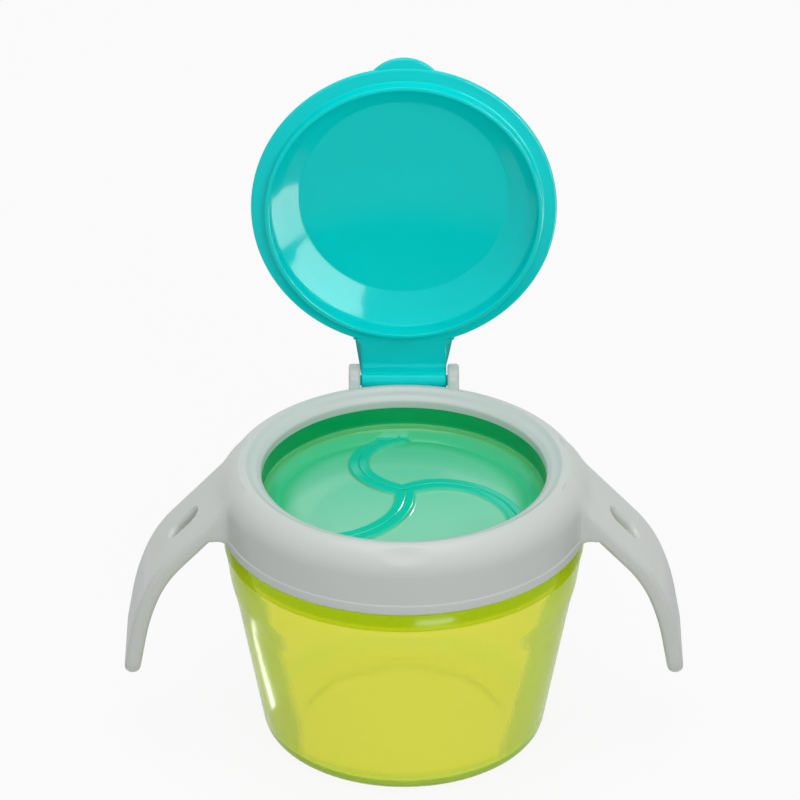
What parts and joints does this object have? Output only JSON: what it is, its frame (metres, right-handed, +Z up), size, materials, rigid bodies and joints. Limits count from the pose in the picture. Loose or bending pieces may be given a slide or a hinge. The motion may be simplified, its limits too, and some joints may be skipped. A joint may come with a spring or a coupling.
{
  "type": "toddler snack container",
  "caption": "Round snack pot for toddlers with a two-handled collar, a soft flap insert that lets a hand in, and a flip lid on a hinge.",
  "frame": {"origin": "middle of the pot's flat underside, where it stands on a table", "axes": "+Z up, front (the thumb tab's side when the lid is shut) towards -Y, hinge towards +Y, handles along X"},
  "size_m": [0.1386, 0.1054, 0.1582],
  "materials": {
    "pot_plastic": "gloss",
    "collar_plastic": "satin",
    "lid_plastic": "gloss",
    "soft_insert": "satin"
  },
  "bodies": {
    "pot": {"pot": "pot_plastic"},
    "collar": {"collar": "collar_plastic", "insert": "soft_insert"},
    "flap_1": {"flap_1": "soft_insert"},
    "flap_2": {"flap_2": "soft_insert"},
    "flap_3": {"flap_3": "soft_insert"},
    "lid": {"lid": "lid_plastic"}
  },
  "joints": [
    {"name": "collar_lift", "type": "slide", "parent": "pot", "child": "collar", "axis": [0, 0, 1], "range_m": [0, 0.03]},
    {"name": "lid_hinge", "type": "hinge", "parent": "collar", "child": "lid", "pos_m": [0, 0.0463, 0.0715], "axis": [1, 0, 0], "range_deg": [-60, 92]},
    {"name": "flap_1_bend", "type": "hinge", "parent": "collar", "child": "flap_1", "pos_m": [0.01352, 0.00855, 0.0624], "axis": [0.5344, -0.8453, 0], "range_deg": [-30, 60], "stiffness_Nm_per_rad": 0.008},
    {"name": "flap_2_bend", "type": "hinge", "parent": "collar", "child": "flap_2", "pos_m": [0.00064, -0.01599, 0.0624], "axis": [-0.9992, -0.0401, 0], "range_deg": [-30, 60], "stiffness_Nm_per_rad": 0.008},
    {"name": "flap_3_bend", "type": "hinge", "parent": "collar", "child": "flap_3", "pos_m": [-0.01417, 0.00744, 0.0624], "axis": [0.4648, 0.8854, 0], "range_deg": [-30, 60], "stiffness_Nm_per_rad": 0.008}
  ]
}
